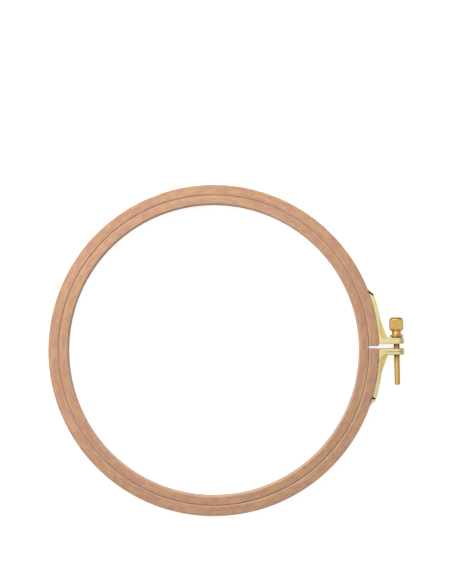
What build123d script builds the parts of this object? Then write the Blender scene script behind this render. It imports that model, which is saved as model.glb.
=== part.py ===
from build123d import *
import os
from math import asin, cos, degrees, pi, radians, sin

# An embroidery hoop of bent beech with a cast brass clamp, lying flat.
# Z runs along the axis of the rings, and z = 0 is half-way up them. The outer ring is split
# on +X, where the clamp is, and the screw runs along Y. All sizes are in millimetres.

# Rings
nominal_diameter = 160.0  # outside of the inner ring, the size by which a hoop is sold
ring_height = 8.0
inner_ring_thickness = 4.8
outer_ring_thickness = 5.4
ring_clearance = 0.15  # all round between the rings, where the cloth goes
inner_edge_radius = 0.7  # on a ring's edges towards the middle of the hoop
outer_edge_radius = 0.45  # on its edges away from it
split_gap = 1.5  # between the ends of the outer ring
split_edge_radius = 0.35  # sanded off the ends

# Brackets, one on each side of the split
bracket_width = 7.6  # along Z
leaf_length = 29.3  # round the ring, from the leg to the tip of the toe
leaf_thickness = 2.2
leaf_sink = 0.35  # let into the wood
leaf_clearance = 0.03  # between the leaf and the wood, on its face and at its tip
leg_thickness = 3.2
upper_leg_setback = 0.85  # from the end of the wood to the leg
lower_leg_setback = 0.1
heel_radius = 1.6  # outer corner, towards the split
root_radius = 2.0  # inner corner
leg_end_radius = 0.6
bracket_edge_chamfer = 0.2

# Toe of the leaf: a bevel down to the wood, and a slit behind its rim in both faces of the
# strip. The slit's ends are measured round the ring from the tip of the toe.
toe_length = 3.0
toe_tip_thickness = 0.5
slit_width = 0.7
slit_web = 3.0  # left whole at mid-height, between the slits
upper_slit_foot = 1.4  # end at the wood
upper_slit_head = 4.4  # end at the outer face
lower_slit_foot = 3.6
lower_slit_head = 3.6

# Gusset between the leaf and the leg, half-way up. The leaf is thinner beside it.
gusset_thickness = 1.9
gusset_height = 10.1  # along Y, from the leg
gusset_reach = 3.35  # along the leg, from the leaf
gusset_embed = 0.6  # how far its outline runs into the leaf and the leg
relief_depth = 0.7  # taken off the outer face of the leaf
relief_slope = 1.2  # length of the slope at its end

# Claw under the toe, driven into the wood
claw_depth = 2.2
claw_base = 1.5
claw_width = 4.4
claw_setback = 1.7  # from the tip of the toe to the middle of the claw
claw_clearance = 0.03

# Nails through each leaf, with their heads flush
nail_radius = 0.65
nail_head_radius = 1.3
nail_head_height = 0.7
nail_head_rim = 0.12
nail_length = 5.4
nail_point_length = 1.0
nail_clearance = 0.02
nail_count = 2
first_nail = 18.6  # round the ring, from the leg
nail_spacing = 4.6

# Screw
screw_radius = 1.5
screw_offset = 9.2  # from the ring's outer face to the axis of the screw
screw_reach = 24.5  # from under the knob to the tip
screw_tip_chamfer = 0.45
thread_pitch = 0.5
thread_depth = 0.27
thread_count = 36  # turns of thread, up from the tip
press_clearance = 0.01  # all round the screw in the knob
running_clearance = 0.08  # all round the screw in its holes
spread_travel = 4.0  # how far the clamp opens in use

# Knob
knob_radius = 3.65
knob_height = 7.2
knob_edge = 1.1  # chamfer at both ends
knob_corner_radius = 0.5
knob_top_thickness = 2.3  # over the end of the screw
neck_radius = 2.3
neck_height = 1.4
seat_radius = 2.4  # of the boss under the collar
seat_height = 0.4
collar_radius = 3.65
collar_rim_height = 0.3
collar_cone_height = 1.2
knob_seat_clearance = 0.03  # between the boss and the leg
knurl_count = 34
knurl_depth = 0.22
knurl_width_share = 0.8  # of the spacing, at the surface

overrun = 1.0  # by which a cut passes through what it cuts

# Sizes that follow from these
inner_ring_outer_radius = nominal_diameter / 2
inner_ring_inner_radius = inner_ring_outer_radius - inner_ring_thickness
outer_ring_inner_radius = inner_ring_outer_radius + ring_clearance
outer_ring_outer_radius = outer_ring_inner_radius + outer_ring_thickness
recess_radius = outer_ring_outer_radius - leaf_sink
leaf_inner_radius = recess_radius + leaf_clearance
leaf_outer_radius = leaf_inner_radius + leaf_thickness
relief_radius = leaf_outer_radius - relief_depth
upper_leg_y = split_gap / 2 + upper_leg_setback
lower_leg_y = split_gap / 2 + lower_leg_setback
screw_x = outer_ring_outer_radius + screw_offset
knob_seat_y = upper_leg_y + leg_thickness + knob_seat_clearance
collar_height = seat_height + collar_rim_height + collar_cone_height
neck_top = collar_height + neck_height
knob_top = neck_top + knob_height
socket_depth = knob_top - knob_top_thickness

# The upper half swings about the outer edge of the ring's far side, so the screw leans
# outwards in the lower leg as the clamp opens, and its hole there has room for that.
flex_reach = screw_x + outer_ring_outer_radius
screw_drop = lower_leg_y + leg_thickness + spread_travel
screw_lean = screw_drop * spread_travel / flex_reach


def turn_at(arc_length):
    """The angle in degrees that a length round the ring's outer face covers."""
    return degrees(arc_length / outer_ring_outer_radius)


def on_ring(radius, angle):
    """The point at a radius and at an angle in degrees from the middle of the split."""
    return (radius * cos(radians(angle)), radius * sin(radians(angle)))


def heel_angle(leg_y):
    """The angle at which a leg's near face meets the inside of the leaf."""
    return degrees(asin(leg_y / leaf_inner_radius))


def nails(leg_y, clearance, rise):
    """The nails of the bracket whose leg stands at leg_y.

    With a clearance these are their holes, and rise carries the holes on past the leaf."""
    with BuildPart() as nail:
        with BuildSketch(Plane.XZ):
            with BuildLine():
                Polyline(
                    (0, rise),
                    (nail_head_radius + clearance, rise),
                    (nail_head_radius + clearance, -nail_head_rim),
                    (nail_radius + clearance, -nail_head_height),
                    (nail_radius + clearance, nail_point_length - nail_length),
                    (0, -nail_length - clearance),
                    close=True,
                )
            make_face()
        revolve(axis=Axis.Z)
    with BuildPart() as pair:
        for number in range(nail_count):
            angle = heel_angle(leg_y) + turn_at(first_nail + number * nail_spacing)
            outwards = Vector(*on_ring(leaf_outer_radius, angle))
            with Locations(Plane(origin=outwards, x_dir=(0, 0, 1), z_dir=outwards)):
                add(nail.part)
    return pair.part


def claw(leg_y, clearance):
    """The wedge under the toe of the bracket at leg_y, or with a clearance its pocket."""
    middle = heel_angle(leg_y) + turn_at(leaf_length - claw_setback)
    half_base = turn_at(claw_base / 2 + clearance)
    with BuildPart() as wedge:
        with BuildSketch():
            Polygon(
                on_ring(leaf_inner_radius + toe_tip_thickness, middle - half_base),
                on_ring(outer_ring_outer_radius - claw_depth - clearance, middle),
                on_ring(leaf_inner_radius + toe_tip_thickness, middle + half_base),
                align=None,
            )
        extrude(amount=claw_width / 2 + clearance, both=True)
    return wedge.part


def outer_ring_half(leg_y):
    """Half of the outer ring, from the split to its far side, that carries a bracket."""
    with BuildPart() as half:
        with BuildSketch(Plane.XZ) as section:
            with Locations((outer_ring_inner_radius + outer_ring_thickness / 2, 0)):
                Rectangle(outer_ring_thickness, ring_height)
            fillet(section.vertices().group_by(Axis.X)[0], inner_edge_radius)
            fillet(section.vertices().group_by(Axis.X)[-1], outer_edge_radius)
        revolve(axis=Axis.Z, revolution_arc=180)
        with BuildSketch(Plane.YZ.offset(outer_ring_inner_radius - overrun)):
            Rectangle(split_gap, ring_height + 2 * overrun)
        extrude(amount=outer_ring_thickness + 2 * overrun, mode=Mode.SUBTRACT)
        end_face = half.faces().filter_by(Axis.Y).sort_by(Axis.X)[-1]
        fillet(end_face.edges(), split_edge_radius)
        add(nails(leg_y, nail_clearance, overrun), mode=Mode.SUBTRACT)
        add(claw(leg_y, claw_clearance), mode=Mode.SUBTRACT)
        # The recess for the leaf
        recess_angle = heel_angle(leg_y) + turn_at(leaf_length + leaf_clearance)
        with BuildSketch():
            with BuildLine():
                floor = CenterArc((0, 0), recess_radius, 0, recess_angle)
                beyond = CenterArc((0, 0), leaf_outer_radius, 0, recess_angle)
                Line(floor @ 0, beyond @ 0)
                Line(floor @ 1, beyond @ 1)
            make_face()
        extrude(amount=ring_height, both=True, mode=Mode.SUBTRACT)
    return half.part


def bracket(leg_y, hole_radius, hole_x, slit_foot, slit_head):
    """A bracket above the split, with its leg at leg_y and its hole for the screw."""
    leg_top = leg_y + leg_thickness
    leg_end_x = screw_x + bracket_width / 2
    tip_angle = heel_angle(leg_y) + turn_at(leaf_length)
    crest_angle = tip_angle - turn_at(toe_length)
    root_angle = degrees(asin(leg_top / relief_radius))
    root_x = relief_radius * cos(radians(root_angle))
    gusset_angle = degrees(asin((leg_top + gusset_height) / leaf_outer_radius))
    relief_angle = gusset_angle - turn_at(relief_slope)
    with BuildPart() as casting:
        # The strip, bent from leaf to leg
        with BuildSketch() as strip:
            with BuildLine():
                inside = CenterArc(
                    (0, 0), leaf_inner_radius, heel_angle(leg_y), turn_at(leaf_length)
                )
                outside = CenterArc(
                    (0, 0), leaf_outer_radius, gusset_angle, crest_angle - gusset_angle
                )
                relief = CenterArc((0, 0), relief_radius, root_angle, relief_angle - root_angle)
                tip = on_ring(leaf_inner_radius + toe_tip_thickness, tip_angle)
                Polyline(inside @ 1, tip, outside @ 1)
                Line(outside @ 0, relief @ 1)
                Polyline(relief @ 0, (leg_end_x, leg_top), (leg_end_x, leg_y), inside @ 0)
            make_face()
            fillet(strip.vertices().sort_by_distance(inside @ 0)[0], heel_radius)
            fillet(strip.vertices().sort_by_distance(relief @ 0)[0], root_radius)
            fillet(strip.vertices().sort_by(Axis.X)[-2:], leg_end_radius)
        extrude(amount=bracket_width / 2, both=True)
        outlines = casting.edges().group_by(Axis.Z)
        chamfer(outlines[0] + outlines[-1], bracket_edge_chamfer)
        # The leg's end, rounded about the screw
        with BuildSketch(Plane.XZ):
            with Locations((screw_x, 0)):
                Rectangle(screw_x, bracket_width, align=(Align.MAX, Align.CENTER))
                Circle(bracket_width / 2)
        extrude(amount=-leaf_outer_radius, mode=Mode.INTERSECT)
        # The slits behind the rim of the toe, one in each face
        foot = Vector(*on_ring(leaf_inner_radius, tip_angle - turn_at(slit_foot)))
        head = Vector(*on_ring(leaf_outer_radius, tip_angle - turn_at(slit_head)))
        for side in (1, -1):
            web_face = Vector(0, 0, side * slit_web / 2)
            slit_plane = Plane(origin=foot + web_face, x_dir=head - foot, z_dir=(0, 0, side))
            with BuildSketch(slit_plane):
                with Locations((-overrun, 0)):
                    Rectangle(
                        (head - foot).length + 2 * overrun,
                        slit_width,
                        align=(Align.MIN, Align.CENTER),
                    )
            extrude(amount=bracket_width, mode=Mode.SUBTRACT)
        # The gusset
        with BuildSketch():
            Polygon(
                (root_x - gusset_embed, leg_top - gusset_embed),
                (root_x + gusset_reach, leg_top - gusset_embed),
                (root_x + gusset_reach, leg_top),
                on_ring(leaf_outer_radius, gusset_angle),
                on_ring(leaf_outer_radius - gusset_embed, gusset_angle),
                align=None,
            )
        extrude(amount=gusset_thickness / 2, both=True)
        add(claw(leg_y, 0))
        with Locations(Plane(origin=(hole_x, leg_top, 0), z_dir=(0, 1, 0))):
            Hole(hole_radius, depth=leg_thickness + overrun)
        add(nails(leg_y, nail_clearance, overrun), mode=Mode.SUBTRACT)
    return casting.part


# Inner ring: one closed band of beech
with BuildPart() as inner_ring:
    with BuildSketch(Plane.XZ) as inner_section:
        with Locations((inner_ring_inner_radius + inner_ring_thickness / 2, 0)):
            Rectangle(inner_ring_thickness, ring_height)
        fillet(inner_section.vertices().group_by(Axis.X)[0], inner_edge_radius)
        fillet(inner_section.vertices().group_by(Axis.X)[-1], outer_edge_radius)
    revolve(axis=Axis.Z)

# Outer ring: one band of beech, in two halves that meet opposite the split
with BuildPart() as outer_ring_upper_half:
    add(outer_ring_half(upper_leg_y))
with BuildPart() as outer_ring_lower_half:
    mirror(outer_ring_half(lower_leg_y), about=Plane.XZ)

# Brackets: the screw runs free in the upper one. The lower one's hole is tapped, and is
# moved and widened by half of the screw's lean.
with BuildPart() as upper_bracket:
    add(
        bracket(
            upper_leg_y,
            screw_radius + running_clearance,
            screw_x,
            upper_slit_foot,
            upper_slit_head,
        )
    )
with BuildPart() as lower_bracket:
    tapped_radius = screw_radius + running_clearance + screw_lean / 2
    tapped_x = screw_x + screw_lean / 2
    turned_over = bracket(lower_leg_y, tapped_radius, tapped_x, lower_slit_foot, lower_slit_head)
    mirror(turned_over, about=Plane.XZ)

# Nails
with BuildPart() as upper_bracket_nails:
    add(nails(upper_leg_y, 0, 0))
with BuildPart() as lower_bracket_nails:
    mirror(nails(lower_leg_y, 0, 0), about=Plane.XZ)

# The screw and the knob are turned parts. Their profiles stand on the knob's seat, with the
# radius along X and the screw's axis along Y.
turning_plane = Plane(origin=(screw_x, knob_seat_y, 0))
turning_axis = Axis((screw_x, knob_seat_y, 0), (0, 1, 0))

# Screw: a shank with a thread, drawn as one groove to each turn
with BuildPart() as clamp_screw:
    profile = [(0, socket_depth), (screw_radius, socket_depth)]
    thread_top = screw_tip_chamfer - screw_reach + thread_count * thread_pitch
    for turn in range(thread_count):
        crest_y = thread_top - turn * thread_pitch
        profile.append((screw_radius, crest_y))
        profile.append((screw_radius - thread_depth, crest_y - thread_pitch / 2))
    profile.append((screw_radius, screw_tip_chamfer - screw_reach))
    profile.append((screw_radius - screw_tip_chamfer, -screw_reach))
    profile.append((0, -screw_reach))
    with BuildSketch(turning_plane):
        with BuildLine():
            Polyline(*profile, close=True)
        make_face()
    revolve(axis=turning_axis)

# Knob: collar, neck and knurled head, pressed on the screw
with BuildPart() as knurled_knob:
    with BuildSketch(turning_plane) as knob_profile:
        with BuildLine():
            Polyline(
                (screw_radius + press_clearance, 0),
                (seat_radius, 0),
                (seat_radius, seat_height),
                (collar_radius, seat_height),
                (collar_radius, seat_height + collar_rim_height),
                (neck_radius, collar_height),
                (neck_radius, neck_top),
                (knob_radius - knob_edge, neck_top),
                (knob_radius, neck_top + knob_edge),
                (knob_radius, knob_top - knob_edge),
                (knob_radius - knob_edge, knob_top),
                (0, knob_top),
                (0, socket_depth + press_clearance),
                (screw_radius + press_clearance, socket_depth + press_clearance),
                close=True,
            )
        make_face()
        barrel = knob_profile.vertices().group_by(Axis.X)[-1]
        fillet(barrel.filter_by(lambda corner: corner.Y > knob_seat_y + neck_top), knob_corner_radius)
    revolve(axis=turning_axis)
    knurl_plane = Plane(origin=(screw_x, knob_seat_y + neck_top, 0), z_dir=(0, 1, 0))
    with BuildSketch(knurl_plane):
        with PolarLocations(knob_radius, knurl_count):
            spread = knurl_width_share * pi * knob_radius / knurl_count
            Polygon(
                (-knurl_depth, 0),
                (knurl_depth, 2 * spread),
                (knurl_depth, -2 * spread),
                align=None,
            )
    extrude(amount=knob_height, mode=Mode.SUBTRACT)

inner_ring.part.label = "inner_ring"
outer_ring_upper_half.part.label = "outer_ring_upper_half"
outer_ring_lower_half.part.label = "outer_ring_lower_half"
upper_bracket.part.label = "upper_bracket"
lower_bracket.part.label = "lower_bracket"
upper_bracket_nails.part.label = "upper_bracket_nails"
lower_bracket_nails.part.label = "lower_bracket_nails"
clamp_screw.part.label = "clamp_screw"
knurled_knob.part.label = "knurled_knob"

os.makedirs("parts", exist_ok=True)
export_step(inner_ring.part, "parts/inner_ring.step")
export_step(outer_ring_upper_half.part, "parts/outer_ring_upper_half.step")
export_step(outer_ring_lower_half.part, "parts/outer_ring_lower_half.step")
export_step(upper_bracket.part, "parts/upper_bracket.step")
export_step(lower_bracket.part, "parts/lower_bracket.step")
export_step(upper_bracket_nails.part, "parts/upper_bracket_nails.step")
export_step(lower_bracket_nails.part, "parts/lower_bracket_nails.step")
export_step(clamp_screw.part, "parts/clamp_screw.step")
export_step(knurled_knob.part, "parts/knurled_knob.step")
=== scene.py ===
from math import asin, cos, hypot, pi, sin

import bmesh
import bpy
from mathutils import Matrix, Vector, noise


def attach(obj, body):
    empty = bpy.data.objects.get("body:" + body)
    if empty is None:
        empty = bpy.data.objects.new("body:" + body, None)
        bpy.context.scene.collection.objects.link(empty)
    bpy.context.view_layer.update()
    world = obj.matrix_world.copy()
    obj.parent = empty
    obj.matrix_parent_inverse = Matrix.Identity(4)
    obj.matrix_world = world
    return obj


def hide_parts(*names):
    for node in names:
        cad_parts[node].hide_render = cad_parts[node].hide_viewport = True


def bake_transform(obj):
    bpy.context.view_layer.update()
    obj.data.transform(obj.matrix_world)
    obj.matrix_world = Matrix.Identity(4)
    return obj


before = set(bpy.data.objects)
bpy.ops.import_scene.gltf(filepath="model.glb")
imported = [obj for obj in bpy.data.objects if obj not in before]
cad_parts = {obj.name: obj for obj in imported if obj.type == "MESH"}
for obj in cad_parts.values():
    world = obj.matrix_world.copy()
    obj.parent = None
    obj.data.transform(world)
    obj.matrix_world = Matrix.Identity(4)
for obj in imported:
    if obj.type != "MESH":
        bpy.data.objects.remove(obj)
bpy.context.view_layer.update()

# The view: the hoop lies flat and is seen from straight above, with the clamp on the right.
# The hoop is turned by a degree in the picture, and it lies below the middle of it.
mm = 0.001
degree = pi / 180
ring_height = 8.0 * mm
hoop_top = ring_height / 2
view_distance = 870 * mm  # above the top of the rings
view_height = 301.2 * mm  # what the picture's height covers at the top of the rings
view_centre = (6.3 * mm, 30.1 * mm)  # from the rings' centre, along the picture's sides
view_roll = -1.05 * degree
film_height = 24.0  # on the camera, in its own millimetres

camera = bpy.data.objects.new("camera", bpy.data.cameras.new("camera"))
camera.data.sensor_width = film_height
camera.data.lens = film_height * view_distance / view_height
camera.data.clip_start = 10 * mm
camera.data.clip_end = 10.0
camera.location = (
    view_centre[0] * cos(view_roll) - view_centre[1] * sin(view_roll),
    view_centre[0] * sin(view_roll) + view_centre[1] * cos(view_roll),
    hoop_top + view_distance,
)
camera.rotation_euler = (0, 0, view_roll)
bpy.context.scene.collection.objects.link(camera)
bpy.context.scene.camera = camera
bpy.context.scene.view_settings.view_transform = "Standard"


# The light: one large soft box at the upper left, 40 degrees above the table, in a white room.
# The room is white to the eye, and in the brass it is greyer towards the walls. It lights the
# shaded sides weakly.
class Shade:
    """A socket of a shader: sums on it add Math nodes, and node() adds any other node."""

    def __init__(self, tree, socket=None):
        self.tree = tree
        self.socket = socket

    def node(self, kind, settings, inputs, output=0):
        """Adds a node with its settings, and then the values or links of its inputs."""
        made = self.tree.nodes.new(kind)
        for name, value in settings.items():
            setattr(made, name, value)
        self.feed(made, inputs)
        return Shade(self.tree, made.outputs[output])

    def feed(self, node, inputs):
        """Gives the sockets of a node their values or links."""
        for name, value in inputs.items():
            if isinstance(value, Shade):
                self.tree.links.new(value.socket, node.inputs[name])
            elif node.inputs[name].type == "RGBA":
                node.inputs[name].default_value = (*value, 1.0)
            else:
                node.inputs[name].default_value = value

    def math(self, operation, *values):
        """A Math node on those values."""
        return self.node("ShaderNodeMath", {"operation": operation}, dict(enumerate(values)))

    def vector(self, operation, *values, output="Vector"):
        """A Vector Math node on those values."""
        settings = {"operation": operation}
        return self.node("ShaderNodeVectorMath", settings, dict(enumerate(values)), output)

    def axis(self, vector, letter):
        """The X, Y or Z of a vector."""
        return self.node("ShaderNodeSeparateXYZ", {}, {0: vector}, letter)

    def __add__(self, other):
        return self.math("ADD", self, other)

    def __sub__(self, other):
        return self.math("SUBTRACT", self, other)

    def __rsub__(self, other):
        return self.math("SUBTRACT", other, self)

    def __mul__(self, other):
        return self.math("MULTIPLY", self, other)

    def __truediv__(self, other):
        return self.math("DIVIDE", self, other)

    __radd__ = __add__
    __rmul__ = __mul__

    def mix(self, share, colour, other):
        """One colour at share 0 and the other at share 1."""
        settings = {"data_type": "RGBA"}
        return self.node("ShaderNodeMix", settings, {0: share, 6: colour, 7: other}, output=2)

    def soft_step(self, value, start, end):
        """0 below start and 1 above end, with a soft rise between them."""
        settings = {"interpolation_type": "SMOOTHSTEP"}
        inputs = {"Value": value, "From Min": start, "From Max": end}
        return self.node("ShaderNodeMapRange", settings, inputs)

    def mottle(self, place, size, detail=2.0):
        """Noise with features of that size."""
        inputs = {"Vector": place, "Scale": 1 / size, "Detail": detail}
        return self.node("ShaderNodeTexNoise", {}, inputs)

    def bumps(self, relief, strength, depth):
        """The normals of a surface with that relief."""
        inputs = {"Strength": strength, "Distance": depth, "Height": relief}
        return self.node("ShaderNodeBump", {}, inputs)

    def seen(self, in_brass):
        """1 for what the camera sees straight, the other value for what it sees in the brass,
        and 0 for what only gives light."""
        path = "ShaderNodeLightPath"
        direct = self.node(path, {}, {}, "Is Camera Ray")
        mirrored = self.node(path, {}, {}, "Is Glossy Ray")
        through = self.node(path, {}, {}, "Is Transmission Ray")
        return self.math("MINIMUM", direct + mirrored * in_brass + through, 1.0)


room_level = 0.29
wall_white = 0.25  # of the room at the height of the table, as the brass shows it
ceiling_start = 0.95  # the height in the room, as a sine, above which it is all white
lamp_place = Vector((-270 * mm, 430 * mm, 430 * mm))
lamp_size = 450 * mm
lamp_watts = 4.7

world = bpy.data.worlds.new("room")
world.use_nodes = True
bpy.context.scene.world = world
room = Shade(world.node_tree)
room_height = room.axis(room.node("ShaderNodeTexCoord", {}, {}, "Generated"), "Z")
room_white = wall_white + (1.0 - wall_white) * room.soft_step(room_height, 0.0, ceiling_start)
room_strength = room_level + room.seen(room_white - room_level)
room.feed(world.node_tree.nodes["Background"], {"Color": (1, 1, 1), "Strength": room_strength})

lamp = bpy.data.objects.new("soft_box", bpy.data.lights.new("soft_box", "AREA"))
lamp.data.size = lamp_size
lamp.data.energy = lamp_watts
lamp.location = lamp_place
lamp.rotation_euler = (-lamp_place).to_track_quat("-Z", "Y").to_euler()
bpy.context.scene.collection.objects.link(lamp)


# The table under the hoop: plain white, as wide as any view needs.
def made_of(mesh, name):
    """An object of that name with the mesh, in the scene."""
    data = bpy.data.meshes.new(name)
    bmesh.ops.recalc_face_normals(mesh, faces=mesh.faces)
    mesh.to_mesh(data)
    mesh.free()
    piece = bpy.data.objects.new(name, data)
    bpy.context.scene.collection.objects.link(piece)
    return piece


table_half = 2.0
table_white = 0.8
table_lift = 0.8  # by which the table is whiter to the eye than as a source of light

table_mesh = bmesh.new()
table_corners = [(-1, -1), (1, -1), (1, 1), (-1, 1)]
table_mesh.faces.new(
    [table_mesh.verts.new((x * table_half, y * table_half, -hoop_top)) for x, y in table_corners]
)
table = made_of(table_mesh, "table")
table_material = bpy.data.materials.new("white_table")
table_material.use_nodes = True
white = Shade(table_material.node_tree)
white.feed(
    table_material.node_tree.nodes["Principled BSDF"],
    {
        "Base Color": (table_white, table_white, table_white),
        "Roughness": 0.9,
        "Specular IOR Level": 0.0,
        "Emission Color": (1, 1, 1),
        "Emission Strength": table_lift * white.seen(wall_white),
    },
)
table.data.materials.append(table_material)


# Inner ring: one strip of beech, bent to a closed band and glued with a long scarf, then
# sanded round on its edges. It lies free inside the outer ring and lifts out upwards.
inner_ring_inner_radius = 75.2 * mm
inner_ring_outer_radius = 80.0 * mm
inner_edge_radius = 0.78 * mm  # on a band's edges towards the middle of the hoop
outer_edge_radius = 0.5 * mm  # on its edges away from it
least_edge_radius = 0.05 * mm
edge_unevenness = 0.3  # share by which the rounding of the edges varies along a band
edge_variation_length = 16 * mm
inner_ring_variation = 3.7  # a number that gives this band its own unevenness
edge_steps = 6
flat_steps = 5
band_stations = 384
sanding_margin = 0.01 * mm  # by which a band stays inside its CAD solid
seam_closing = 0.065 * mm  # by which it goes beyond the solid where the two rings meet


def band_section(inner, outer, edge_share, inset=0.0, outer_edge=outer_edge_radius):
    """The section of a band as (radius, height) points, shrunk all round by the inset.

    The edge share tells how much of the full rounding its edges have."""
    half_thickness = (outer - inner) / 2 - inset
    half_height = ring_height / 2 - sanding_margin - inset
    middle = (inner + outer) / 2
    points = []
    for number, (out, up) in enumerate([(1, 1), (-1, 1), (-1, -1), (1, -1)]):
        edge_radius = outer_edge if out > 0 else inner_edge_radius
        corner = max(edge_radius * edge_share - inset, least_edge_radius)
        centre = (out * (half_thickness - corner), up * (half_height - corner))
        for step in range(edge_steps + 1):
            turn = pi / 2 * (number + step / edge_steps)
            points.append((centre[0] + corner * cos(turn), centre[1] + corner * sin(turn)))
    section = []
    for number, point in enumerate(points):
        following = points[(number + 1) % len(points)]
        section.append((middle + point[0], point[1]))
        if number % (edge_steps + 1) == edge_steps:
            for step in range(1, flat_steps):
                share = step / flat_steps
                section.append(
                    (
                        middle + point[0] + share * (following[0] - point[0]),
                        point[1] + share * (following[1] - point[1]),
                    )
                )
    return section


def band_edge(turn, radius, seed):
    """How much of the full rounding the edges of a band have at that place."""
    along = radius / edge_variation_length
    place = Vector((along * cos(turn), along * sin(turn), seed))
    return 1 + edge_unevenness * noise.noise(place)


def join_loops(mesh, loops, closed):
    """Covers the space between one loop of corners and the next."""
    pairs = list(zip(loops, loops[1:]))
    if closed:
        pairs.append((loops[-1], loops[0]))
    for one, other in pairs:
        for number in range(len(one)):
            following = (number + 1) % len(one)
            mesh.faces.new((one[number], one[following], other[following], other[number]))


def as_wood(mesh, name):
    """The finished band, with the place of each corner at rest kept for its grain."""
    piece = made_of(mesh, name)
    piece.data.shade_smooth()
    rest = piece.data.attributes.new("rest_in_mm", "FLOAT_VECTOR", "POINT")
    rest.data.foreach_set("vector", [value / mm for v in piece.data.vertices for value in v.co])
    return piece


inner_mesh = bmesh.new()
inner_loops = []
for station in range(band_stations):
    station_turn = 2 * pi * station / band_stations
    inner_section = band_section(
        inner_ring_inner_radius + sanding_margin,
        inner_ring_outer_radius + seam_closing,
        band_edge(station_turn, inner_ring_outer_radius, inner_ring_variation),
    )
    inner_loops.append(
        [
            inner_mesh.verts.new((r * cos(station_turn), r * sin(station_turn), z))
            for r, z in inner_section
        ]
    )
join_loops(inner_mesh, inner_loops, closed=True)
beech_inner_ring = as_wood(inner_mesh, "beech_inner_ring")

beech_pale = (0.72, 0.445, 0.29)
beech_deep = (0.475, 0.24, 0.13)
beech_pink = (0.60, 0.308, 0.212)
beech_yellow = (0.727, 0.442, 0.228)
beech_sheen_pale = (0.77, 0.56, 0.42)  # painted highlight: the pale sheen of the rounded edges
fleck_brown = (0.25, 0.11, 0.055)
seam_shade_brown = (0.36, 0.16, 0.06)  # painted shade in the crevice between the rings, with polish that gathers there
glue_brown = (0.33, 0.18, 0.10)
end_brown = (0.42, 0.235, 0.135)
patch_share = 0.6  # how much of the beech the pink and yellow patches colour
fibre_share = 0.5
fleck_share = 0.7
seam_shade_share = 0.5
glue_share = 0.8
end_share = 0.75
dark_spot_share = 0.75
grain_depth = 0.05 * mm
seam_radius = 80.075  # in mm, like all lengths below, because the grain is laid out in mm
seam_width = 0.4
scarf_length = 30.0
scarf_line = 0.09
dark_spot_height = 3.6
dark_spots = [  # x, y and size of dark marks on an edge
    (66.8, -52.8, 0.7),
    (-11.5, -84.2, 0.6),
    (84.7, -7.3, 0.9),
    (84.4, -9.9, 0.8),
    (80.9, -26.1, 0.8),
    (80.5, -27.2, 0.9),
]


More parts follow.
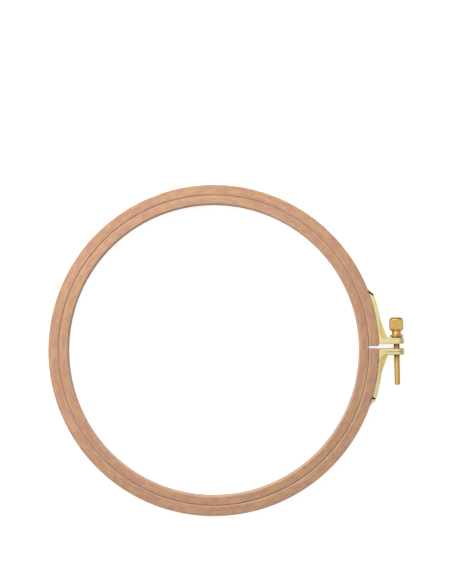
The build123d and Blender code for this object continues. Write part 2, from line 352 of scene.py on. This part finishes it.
def beech(name, seed, edge_sheen, has_scarf):
    """Bare sanded beech whose fibres run round the band, with painted highlights on its rounded
    edges.
    """
    material = bpy.data.materials.new(name)
    material.use_nodes = True
    wood = Shade(material.node_tree)
    rest = wood.node("ShaderNodeAttribute", {"attribute_name": "rest_in_mm"}, {}, "Vector")
    flat = wood.vector("MULTIPLY", rest, (1, 1, 0))
    radius = wood.vector("LENGTH", flat, output="Value")
    direction = wood.vector("NORMALIZE", flat)

    def grain(length, width, height, shift, detail=2.0, roughness=0.5):
        """Noise with features of that length along the fibres, and width and height across.

        The shift keeps one layer of it apart from the others."""
        stretch = {0: direction, "Scale": inner_ring_outer_radius / mm / length}
        around = wood.node("ShaderNodeVectorMath", {"operation": "SCALE"}, stretch)
        across = wood.node("ShaderNodeCombineXYZ", {}, {"Z": radius / width})
        return wood.node(
            "ShaderNodeTexNoise",
            {"noise_dimensions": "4D"},
            {
                "Vector": wood.vector("ADD", around, across),
                "W": wood.axis(rest, "Z") / height + (seed + shift),
                "Scale": 1.0,
                "Detail": detail,
                "Roughness": roughness,
            },
        )

    tone = wood.soft_step(grain(26.0, 6.0, 9.0, 1.3, detail=3.0), 0.35, 0.65)
    growth = wood.soft_step(grain(45.0, 0.7, 1.4, 5.1, detail=3.0), 0.38, 0.62)
    patch = wood.soft_step(grain(4.0, 1.6, 2.4, 9.7, detail=3.0), 0.40, 0.60)
    fibre = grain(6.0, 0.16, 0.2, 14.2, detail=3.0, roughness=0.6)
    flecks = wood.soft_step(grain(1.3, 0.22, 0.32, 21.9, detail=1.0), 0.65, 0.72)
    colour = wood.mix(0.1 + 0.8 * growth * (0.3 + 0.7 * tone), beech_deep, beech_pale)
    colour = wood.mix(patch_share, colour, wood.mix(patch, beech_pink, beech_yellow))
    colour = wood.mix(wood.soft_step(fibre, 0.42, 0.68) * fibre_share, colour, beech_deep)
    colour = wood.mix(flecks * fleck_share, colour, fleck_brown)
    # Painted highlight: where the normal leans from upright, on the rounded edges, the colour
    # goes towards a pale sheen.
    facing = wood.node("ShaderNodeNewGeometry", {}, {}, "Normal")
    lean = 1.0 - wood.math("ABSOLUTE", wood.axis(facing, "Z"))
    off_side = 1.0 - wood.soft_step(lean, 0.75, 0.95)
    rounding = wood.soft_step(lean, 0.02, 0.25) * off_side
    colour = wood.mix(rounding * edge_sheen, colour, beech_sheen_pale)
    # Painted shade, with some gathered polish: the wood beside the crevice between the rings goes
    # towards dark brown.
    from_seam = wood.math("ABSOLUTE", radius - seam_radius)
    seam_shade_mask = (1.0 - wood.soft_step(from_seam, 0.0, seam_width)) * off_side
    colour = wood.mix(seam_shade_mask * seam_shade_share, colour, seam_shade_brown)
    if has_scarf:
        middle = (inner_ring_inner_radius + inner_ring_outer_radius) / 2 / mm
        thickness = (inner_ring_outer_radius - inner_ring_inner_radius) / mm
        slope = wood.axis(rest, "X") * thickness / scarf_length
        off_joint = wood.math("ABSOLUTE", radius - middle - slope)
        joint = 1.0 - wood.soft_step(off_joint, scarf_line / 3, scarf_line)
        joint = joint * wood.soft_step(wood.axis(rest, "Y"), 0.0, 1.0)
        colour = wood.mix(joint * glue_share, colour, glue_brown)
    else:
        ends = wood.node("ShaderNodeAttribute", {"attribute_name": "end_grain"}, {}, "Fac")
        colour = wood.mix(ends * end_share, colour, end_brown)
        for x, y, size in dark_spots:
            from_mark = wood.vector("DISTANCE", rest, (x, y, dark_spot_height), output="Value")
            mark = 1.0 - wood.soft_step(from_mark, size / 2, size)
            colour = wood.mix(mark * dark_spot_share, colour, fleck_brown)
    relief = fibre * 0.6 + growth * 0.25 - flecks * 0.35
    wood.feed(
        material.node_tree.nodes["Principled BSDF"],
        {
            "Base Color": colour,
            "Roughness": 0.46 + 0.18 * fibre,
            "Specular IOR Level": 0.5,
            "Sheen Weight": 0.3,
            "Sheen Roughness": 0.4,
            "Normal": wood.bumps(relief, 0.35, grain_depth),
        },
    )
    return material


beech_inner_ring.data.materials.append(
    beech("beech_of_inner_ring", seed=0.0, edge_sheen=0.35, has_scarf=True)
)
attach(beech_inner_ring, "inner_ring")
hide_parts("inner_ring")


# Outer ring: the same strip of beech, sawn through at the clamp, with a shallow recess for
# each leaf of the clamp. It is one piece, which on the real hoop bends when the clamp lets go.
outer_ring_inner_radius = 80.15 * mm
outer_ring_outer_radius = 85.55 * mm
half_split = 0.75 * mm
split_edge_radius = 0.35 * mm
split_edge_steps = 4
recess_depth = 0.35 * mm
recess_edge_radius = 0.2 * mm
recess_length = 29.33 * mm  # round the outer face, from the inside of the leg
recess_wall = (-0.12 * mm, -0.01 * mm, 0.01 * mm, 0.12 * mm)  # its loops, about its far end
leg_faces = (1.6 * mm, 0.85 * mm)  # the insides of the upper and lower leg, from the split
outer_ring_variation = 8.3
end_loops = 2  # that show the end grain at each side of the cut

split_turn = asin((half_split + split_edge_radius) / outer_ring_outer_radius)
recess_ends = [
    asin(face / (outer_ring_outer_radius - recess_depth))
    + recess_length / outer_ring_outer_radius
    for face in leg_faces
]
outer_mesh = bmesh.new()


def outer_loop(share, inset=0.0, from_split=None):
    """A loop of the outer ring at a share of the way round, or at a distance from the saw cut.

    Below share 0.5 the distance counts from the cut's upper side."""
    turn = split_turn + share * 2 * (pi - split_turn)
    outer = outer_ring_outer_radius
    outer_edge = outer_edge_radius
    if turn < recess_ends[0] or turn > 2 * pi - recess_ends[1]:
        outer -= recess_depth
        outer_edge = recess_edge_radius
    section = band_section(
        outer_ring_inner_radius - seam_closing,
        outer - sanding_margin,
        band_edge(turn, outer_ring_outer_radius, outer_ring_variation),
        inset,
        outer_edge,
    )
    loop = []
    for radius, height in section:
        if from_split is None:
            radius_start = asin((half_split + split_edge_radius) / radius)
            angle = radius_start + share * 2 * (pi - radius_start)
        else:
            angle = asin((half_split + from_split) / radius)
            angle = angle if share < 0.5 else 2 * pi - angle
        loop.append(outer_mesh.verts.new((radius * cos(angle), radius * sin(angle), height)))
    return loop


def split_end(share):
    """The loops that round one sawn end, from the saw cut outwards."""
    loops = []
    for step in range(split_edge_steps):
        turn = pi / 2 * (1 - step / split_edge_steps)
        inset = split_edge_radius * (1 - cos(turn))
        loops.append(outer_loop(share, inset, split_edge_radius * (1 - sin(turn))))
    return loops


outer_loops = split_end(0.0)
station_shares = [station / band_stations for station in range(band_stations + 1)]
for end in (recess_ends[0], 2 * pi - recess_ends[1]):
    for offset in recess_wall:
        end_turn = end + offset / outer_ring_outer_radius
        station_shares.append((end_turn - split_turn) / (2 * (pi - split_turn)))
outer_loops += [outer_loop(share) for share in sorted(station_shares)]
outer_loops += reversed(split_end(1.0))
join_loops(outer_mesh, outer_loops, closed=False)
outer_mesh.faces.new(outer_loops[0])
outer_mesh.faces.new(outer_loops[-1])
end_count = end_loops * len(outer_loops[0])
between_count = len(outer_loops) * len(outer_loops[0]) - 2 * end_count
beech_outer_ring = as_wood(outer_mesh, "beech_outer_ring")
end_grain = beech_outer_ring.data.attributes.new("end_grain", "FLOAT", "POINT")
end_grain.data.foreach_set("value", end_count * [1.0] + between_count * [0.0] + end_count * [1.0])
beech_outer_ring.data.materials.append(
    beech("beech_of_outer_ring", seed=40.0, edge_sheen=0.85, has_scarf=False)
)
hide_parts("outer_ring_upper_half", "outer_ring_lower_half")
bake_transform(beech_outer_ring)


# Brackets: brass castings, tumbled until their edges are soft and then polished. Their leaves
# are nailed to the wood, and their legs carry the screw.
weld_distance = 0.001 * mm
casting_grain = 0.11 * mm
tumbling_rounds = 4
tumbling_strength = 0.5
brass_pale = (0.78, 0.69, 0.37)
brass_deep = (0.69, 0.575, 0.255)
brass_unpolished_shaded = (0.83, 0.61, 0.2)
brass_dull = (0.30, 0.215, 0.065)
dirt_and_shade_black = (0.06, 0.045, 0.012)
polish_and_shade_floor = 1.2 * mm  # from the middle of the height: nearer, unpolished and painted as shaded
polish_and_shade_full = 2.6 * mm
cloud_size = 3.0 * mm
pit_size = 0.35 * mm
cloud_share = 0.7
unpolished_and_shaded_share = 0.85
corner_share = 0.6
pit_share = 0.12
skin_size = 0.3 * mm
skin_depth = 0.03 * mm


def cast_brass():
    """Pale polished cast brass, yellower where the wheel misses and shade is painted, dull in
    corners.
    """
    material = bpy.data.materials.new("pale_cast_brass")
    material.use_nodes = True
    metal = Shade(material.node_tree)
    place = metal.node("ShaderNodeTexCoord", {}, {}, "Object")
    clouds = metal.soft_step(metal.mottle(place, cloud_size), 0.35, 0.65)
    pits = metal.soft_step(metal.mottle(place, pit_size), 0.60, 0.72)
    pointed = metal.node("ShaderNodeNewGeometry", {}, {}, "Pointiness")
    corners = 1.0 - metal.soft_step(pointed, 0.40, 0.49)
    off_middle = metal.math("ABSOLUTE", metal.axis(place, "Z"))
    # Painted shade, partly real: mid-height, where the gusset lies recessed, goes deeper yellow,
    # as brass the wheel misses.
    unpolished_and_shaded = 1.0 - metal.soft_step(off_middle, polish_and_shade_floor, polish_and_shade_full)
    colour = metal.mix(clouds * cloud_share, brass_pale, brass_deep)
    colour = metal.mix(unpolished_and_shaded * unpolished_and_shaded_share, colour, brass_unpolished_shaded)
    colour = metal.mix(corners * corner_share + pits * pit_share, colour, brass_dull)
    # The mesh marks dirt and painted shade: the slits, the lower leaf by the wood, under the leg,
    # the scored line.
    dirt_and_shade = metal.node("ShaderNodeAttribute", {"attribute_name": "dirt_and_shade"}, {}, "Fac")
    colour = metal.mix(dirt_and_shade, colour, dirt_and_shade_black)
    relief = metal.mottle(place, skin_size, detail=3.0) - pits * 0.8
    metal.feed(
        material.node_tree.nodes["Principled BSDF"],
        {
            "Base Color": colour,
            "Metallic": 1.0,
            "Roughness": 0.32 + 0.12 * clouds + 0.2 * corners + 0.3 * dirt_and_shade,
            "Normal": metal.bumps(relief, 0.25, skin_depth),
        },
    )
    return material


bracket_brass = cast_brass()

# Painted shade, with black residue of the polish, darkens the slit of each toe.
leaf_inner_radius = 85.23 * mm
leaf_outer_radius = 87.43 * mm
toe_length = 29.3 * mm  # round the outer face of the ring, from the leg to the toe's tip
slit_ends = ((1.4 * mm, 4.4 * mm), (3.6 * mm, 3.6 * mm))  # from the toe's tip, at both faces
slit_half = 0.45 * mm
slit_floor = 1.4 * mm  # from the middle of the bracket's height, as is the face
slit_face = 3.75 * mm
slit_fade = 0.5 * mm

# A line is scored along the lower leg.
score_y = -2.45 * mm
score_half = 0.22 * mm
score_depth = 0.3 * mm
score_start = 88.7 * mm  # along X
score_end = 98.0 * mm
score_floor = 3.0 * mm  # from the middle of the bracket's height
score_darkening = 0.35

# The lower leaf is darker beyond the leg, with painted shade by the wood, at the slit's foot and
# under the leg.
darkening_start = 4.1 * mm  # from the split
darkening_rise = 2.0 * mm
leaf_darkening = 0.14
wood_shade = 0.3
wood_shade_width = 0.7 * mm
foot_shade = 0.7
foot_shade_width = 1.6 * mm
leg_shade = 0.5
leg_shade_width = 0.5 * mm


def on_ring(radius, arc_length, leg_face):
    """The point at a radius, at a length round the ring from the inside of a leg."""
    angle = asin(leg_face / leaf_inner_radius) + arc_length / outer_ring_outer_radius
    return Vector((radius * cos(angle), radius * sin(angle)))


def off_line(place, start, end):
    """The distance of a place from the line between two points."""
    along = min(max((place - start).dot(end - start) / (end - start).length_squared, 0), 1)
    return (place - start - along * (end - start)).length


def lower_darkening_and_shade(flat, slit_foot):
    """How dark the lower bracket is painted at a place, as (x, y) from the split, with its
    painted shade.
    """
    off_leg = min(max((flat.y - darkening_start) / darkening_rise, 0), 1)
    by_wood = max(1 - (flat.length - leaf_inner_radius) / wood_shade_width, 0)
    by_foot = max(1 - (flat - slit_foot).length / foot_shade_width, 0)
    darkening_and_shade = off_leg * (leaf_darkening + wood_shade * by_wood) + foot_shade * by_foot
    if flat.x > score_start:
        darkening_and_shade += leg_shade * max(1 - abs(flat.y - darkening_start) / leg_shade_width, 0)
    return darkening_and_shade


def cast_bracket(name, node, body, side):
    """The bracket of that CAD node, with its edges tumbled soft.

    The side is 1 above the split and -1 below it."""
    blank = bmesh.new()
    blank.from_mesh(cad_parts[node].data)
    bmesh.ops.remove_doubles(blank, verts=blank.verts, dist=weld_distance)
    rough = made_of(blank, name + "_blank")
    remesh = rough.modifiers.new("casting", "REMESH")
    remesh.mode = "VOXEL"
    remesh.voxel_size = casting_grain
    tumbling = rough.modifiers.new("tumbling", "SMOOTH")
    tumbling.iterations = tumbling_rounds
    tumbling.factor = tumbling_strength
    smooth = bmesh.new()
    smooth.from_object(rough, bpy.context.evaluated_depsgraph_get())
    bpy.data.objects.remove(rough)
    below_split = 0 if side > 0 else 1
    foot_length, head_length = slit_ends[below_split]
    slit_foot = on_ring(leaf_inner_radius, toe_length - foot_length, leg_faces[below_split])
    slit_head = on_ring(leaf_outer_radius, toe_length - head_length, leg_faces[below_split])
    dirt_and_shade = []
    for corner in smooth.verts:
        flat = Vector((corner.co.x, abs(corner.co.y)))
        height = abs(corner.co.z)
        corner_dirt_and_shade = lower_darkening_and_shade(flat, slit_foot) if side < 0 else 0
        # Painted shade, with polish residue, in the toe's slit below its face.
        if off_line(flat, slit_foot, slit_head) < slit_half and height > slit_floor:
            corner_dirt_and_shade = min(max((slit_face - height) / slit_fade, 0), 1)
        off_score = abs(corner.co.y - score_y) / score_half
        if off_score < 1 and score_start < corner.co.x < score_end and height > score_floor:
            cut = score_depth * (0.5 + 0.5 * cos(pi * off_score))
            corner.co.z -= cut if corner.co.z > 0 else -cut
            # The scored line is painted darker.
            corner_dirt_and_shade = score_darkening * (1 - off_score)
        dirt_and_shade.append(corner_dirt_and_shade)
    bracket = made_of(smooth, name)
    marks = bracket.data.attributes.new("dirt_and_shade", "FLOAT", "POINT")
    marks.data.foreach_set("value", dirt_and_shade)
    bracket.data.shade_smooth()
    bracket.data.materials.append(bracket_brass)
    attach(bracket, body)
    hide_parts(node)
    return bracket


cast_bracket("cast_upper_bracket", "upper_bracket", "upper_half", 1)
cast_bracket("cast_lower_bracket", "lower_bracket", "lower_half", -1)


# Nails: two through each leaf into the wood, with their heads filed flush. They are a softer
# brass than the castings, brown in the marks that the file left.
nail_yellow = (0.70, 0.57, 0.27)
nail_brown = (0.42, 0.30, 0.12)
file_mark_size = 0.5 * mm
file_mark_stretch = (1, 1, 9)

nail_brass = bpy.data.materials.new("filed_nail_brass")
nail_brass.use_nodes = True
filed = Shade(nail_brass.node_tree)
filed_place = filed.node("ShaderNodeTexCoord", {}, {}, "Object")
filed_rows = {"Vector": filed_place, "Scale": file_mark_stretch}
file_marks = filed.mottle(filed.node("ShaderNodeMapping", {}, filed_rows), file_mark_size)
filed.feed(
    nail_brass.node_tree.nodes["Principled BSDF"],
    {
        "Base Color": filed.mix(filed.soft_step(file_marks, 0.4, 0.7), nail_yellow, nail_brown),
        "Metallic": 1.0,
        "Roughness": 0.3 + 0.2 * file_marks,
    },
)
for node in ("upper_bracket_nails", "lower_bracket_nails"):
    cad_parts[node].data.materials.clear()
    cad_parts[node].data.materials.append(nail_brass)


# Screw: a thin turned rod with a fine rolled thread, pressed into the knob. It runs free
# through the upper bracket and threads into the lower one.
screw_x = 94.75 * mm
knob_seat_y = 4.83 * mm
screw_radius = 1.5 * mm
screw_tip = -24.5 * mm  # from the knob's seat, as all heights along the screw below
screw_tip_chamfer = 0.45 * mm
screw_top = 8.2 * mm
thread_pitch = 0.5 * mm
thread_depth = 0.16 * mm
thread_top = -6.05 * mm
thread_runout = 0.6 * mm
thread_profile = [0.0, 0.0, 0.15, 0.6, 1.0, 0.9, 0.4, 0.05]  # share of the depth
thread_sides = 40
thread_weld = 0.0005 * mm
rim_margin = 1.0 * mm  # by which the thread's lower rim is told from its upper one


def screw_radius_at(height, depth_share):
    """The screw's radius at a height, with its thread ending softly and its tip chamfered."""
    below_top = min(max((thread_top - height) / thread_runout, 0), 1)
    radius = screw_radius - thread_depth * depth_share * below_top
    return min(radius, screw_radius - screw_tip_chamfer + height - screw_tip)


def on_screw(radius, turn, height):
    """The point at a radius, turn and height on the axis of the screw."""
    return (screw_x + radius * cos(turn), knob_seat_y + height, radius * sin(turn))


screw_mesh = bmesh.new()
steps_in_turn = len(thread_profile)
row_count = int((thread_top - screw_tip) / thread_pitch + 2) * steps_in_turn
helix = []
for side in range(thread_sides):
    column = []
    for row in range(row_count):
        rise = (row / steps_in_turn + side / thread_sides - 1) * thread_pitch
        height = min(max(screw_tip + rise, screw_tip), thread_top)
        radius = screw_radius_at(height, thread_profile[row % steps_in_turn])
        column.append(
            screw_mesh.verts.new(on_screw(radius, -2 * pi * side / thread_sides, height))
        )
    helix.append(column)
for side in range(thread_sides):
    shift = steps_in_turn if side == thread_sides - 1 else 0
    following = helix[(side + 1) % thread_sides]
    for row in range(row_count - 1 - shift):
        screw_mesh.faces.new(
            (
                helix[side][row],
                helix[side][row + 1],
                following[row + 1 + shift],
                following[row + shift],
            )
        )
bmesh.ops.remove_doubles(screw_mesh, verts=screw_mesh.verts, dist=thread_weld)
bmesh.ops.dissolve_degenerate(screw_mesh, edges=screw_mesh.edges, dist=thread_weld)
rims = [edge for edge in screw_mesh.edges if edge.is_boundary]
rim_floor = knob_seat_y + thread_top - rim_margin
upper_rim = [edge for edge in rims if edge.verts[0].co.y > rim_floor]
shank = bmesh.ops.extrude_edge_only(screw_mesh, edges=upper_rim)
shank_top = [corner for corner in shank["geom"] if isinstance(corner, bmesh.types.BMVert)]
bmesh.ops.translate(screw_mesh, verts=shank_top, vec=(0, screw_top - thread_top, 0))
bmesh.ops.holes_fill(screw_mesh, edges=[edge for edge in screw_mesh.edges if edge.is_boundary])
rolled_screw = made_of(screw_mesh, "rolled_screw")
rolled_screw.data.shade_smooth()

turned_gold = (0.82, 0.57, 0.20)
turned_brown = (0.68, 0.44, 0.13)
turned_dirt_and_shade = (0.24, 0.14, 0.03)
stain_share = 0.45
groove_share = 0.2
stain_size = 2.2 * mm
tool_ring_size = 1.6 * mm
tool_ring_stretch = (1, 14, 1)
tool_ring_depth = 0.015 * mm
screw_roughness = 0.48
screw_tarnish = 0.15
painted_dark_share = 0.8
painted_dark_fade = 0.2 * mm
# Painted shade: a dark reflection on the knob's top chamfer, and shadows under the collar and
# legs.
painted_dark_bands = [  # the upper end of each band, from the split, and its length
    (14.8 * mm, 1.0 * mm),
    (5.5 * mm, 2.5 * mm),
    (1.6 * mm, 7.0 * mm),
    (-4.05 * mm, 1.6 * mm),
]


def turned_brass(name, groove_start, groove_end, roughness, tarnish=0.0):
    """Satin turned brass with rings from the tool, old polish in its grooves, and painted dark
    bands.
    """
    material = bpy.data.materials.new(name)
    material.use_nodes = True
    metal = Shade(material.node_tree)
    place = metal.node("ShaderNodeTexCoord", {}, {}, "Object")
    across = metal.vector("MULTIPLY", metal.vector("SUBTRACT", place, (screw_x, 0, 0)), (1, 0, 1))
    radius = metal.vector("LENGTH", across, output="Value")
    turned_rows = {"Vector": place, "Scale": tool_ring_stretch}
    row_place = metal.node("ShaderNodeMapping", {}, turned_rows)
    rings = metal.mottle(row_place, tool_ring_size, detail=3.0)
    stains = metal.soft_step(metal.mottle(place, stain_size), 0.35, 0.7)
    groove = 1.0 - metal.soft_step(radius, groove_start, groove_end)
    colour = metal.mix(stains * stain_share, turned_gold, turned_brown)
    colour = metal.mix(groove * groove_share + tarnish, colour, turned_dirt_and_shade)
    height = metal.axis(place, "Y")
    # Each band paints a shadow or a dark reflection onto the turned brass.
    for top, length in painted_dark_bands:
        below = metal.soft_step(height, top - length, top)
        above = 1.0 - metal.soft_step(height, top, top + painted_dark_fade)
        colour = metal.mix(below * above * painted_dark_share, colour, turned_dirt_and_shade)
    metal.feed(
        material.node_tree.nodes["Principled BSDF"],
        {
            "Base Color": colour,
            "Metallic": 1.0,
            "Roughness": roughness + 0.08 * rings + 0.2 * groove,
            "Normal": metal.bumps(rings, 0.15, tool_ring_depth),
        },
    )
    return material


rolled_screw.data.materials.append(
    turned_brass(
        "turned_brass_of_screw",
        groove_start=screw_radius - thread_depth,
        groove_end=screw_radius,
        roughness=screw_roughness,
        tarnish=screw_tarnish,
    )
)
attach(rolled_screw, "thumbscrew")
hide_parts("clamp_screw")


# Knob: turned from bar with a flared collar, a thin neck and a straight-knurled barrel, and
# pressed on the end of the screw.
knob_radius = 3.65 * mm
knob_bore = 1.51 * mm
seat_radius = 2.4 * mm
seat_height = 0.4 * mm
collar_rim = 0.7 * mm  # the height of its upper edge
collar_height = 1.9 * mm
neck_radius = 2.3 * mm
neck_top = 3.3 * mm
knob_top = 10.5 * mm
knob_edge = 1.1 * mm
knurl_count = 34
knurl_depth = 0.22 * mm
knurl_steps = 8
corner_steps = 4
most_rounding = 0.45  # of the distance to the next corner
crest_wear = 0.05 * mm
centre_radius = 0.05 * mm
knob_roughness = 0.2
knob_corners = [  # radius, height and rounding
    (knob_bore, screw_top, 0),
    (knob_bore, 0, 0.05 * mm),
    (seat_radius, 0, 0.1 * mm),
    (seat_radius, seat_height, 0.1 * mm),
    (knob_radius, seat_height, 0.06 * mm),
    (knob_radius, collar_rim, 0.06 * mm),
    (neck_radius, collar_height, 0.12 * mm),
    (neck_radius, neck_top, 0.12 * mm),
    (knob_radius - knob_edge, neck_top, 0.15 * mm),
    (knob_radius, neck_top + knob_edge, 0.5 * mm),
    (knob_radius, knob_top - knob_edge, 0.5 * mm),
    (knob_radius - knob_edge, knob_top, 0.3 * mm),
    (centre_radius, knob_top, 0),
]


def soft_outline(corners):
    """The outline through the corners, each rounded over its own length."""
    points = [corners[0][:2]]
    for before, corner, after in zip(corners, corners[1:], corners[2:]):
        rounding = corner[2]
        ends = []
        for other in (before, after):
            length = hypot(other[0] - corner[0], other[1] - corner[1])
            share = min(rounding / length, most_rounding)
            ends.append([corner[i] + share * (other[i] - corner[i]) for i in (0, 1)])
        for step in range(corner_steps + 1):
            s = step / corner_steps
            points.append(
                [
                    (1 - s) ** 2 * ends[0][i] + 2 * s * (1 - s) * corner[i] + s * s * ends[1][i]
                    for i in (0, 1)
                ]
            )
    points.append(corners[-1][:2])
    return points


def knurl_limit(turn):
    """The radius that the knurling wheel leaves at that turn."""
    tooth = 0.5 - 0.5 * cos(knurl_count * turn)
    return knob_radius - knurl_depth * tooth


knob_mesh = bmesh.new()
knob_loops = []
knob_sides = knurl_count * knurl_steps
for radius, height in soft_outline(knob_corners):
    knob_loop = []
    for side in range(knob_sides):
        turn = 2 * pi * side / knob_sides
        knurled = min(radius, knurl_limit(turn)) if height > neck_top else radius
        knob_loop.append(knob_mesh.verts.new(on_screw(knurled, turn, height)))
    knob_loops.append(knob_loop)
join_loops(knob_mesh, knob_loops, closed=False)
knob_mesh.faces.new(knob_loops[0])
knob_mesh.faces.new(knob_loops[-1])
knurled_thumb_knob = made_of(knob_mesh, "knurled_thumb_knob")
knurled_thumb_knob.data.shade_smooth()
knurled_thumb_knob.data.materials.append(
    turned_brass(
        "turned_brass_of_knob",
        groove_start=knob_radius - knurl_depth,
        groove_end=knob_radius - crest_wear,
        roughness=knob_roughness,
    )
)
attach(knurled_thumb_knob, "thumbscrew")
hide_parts("knurled_knob")
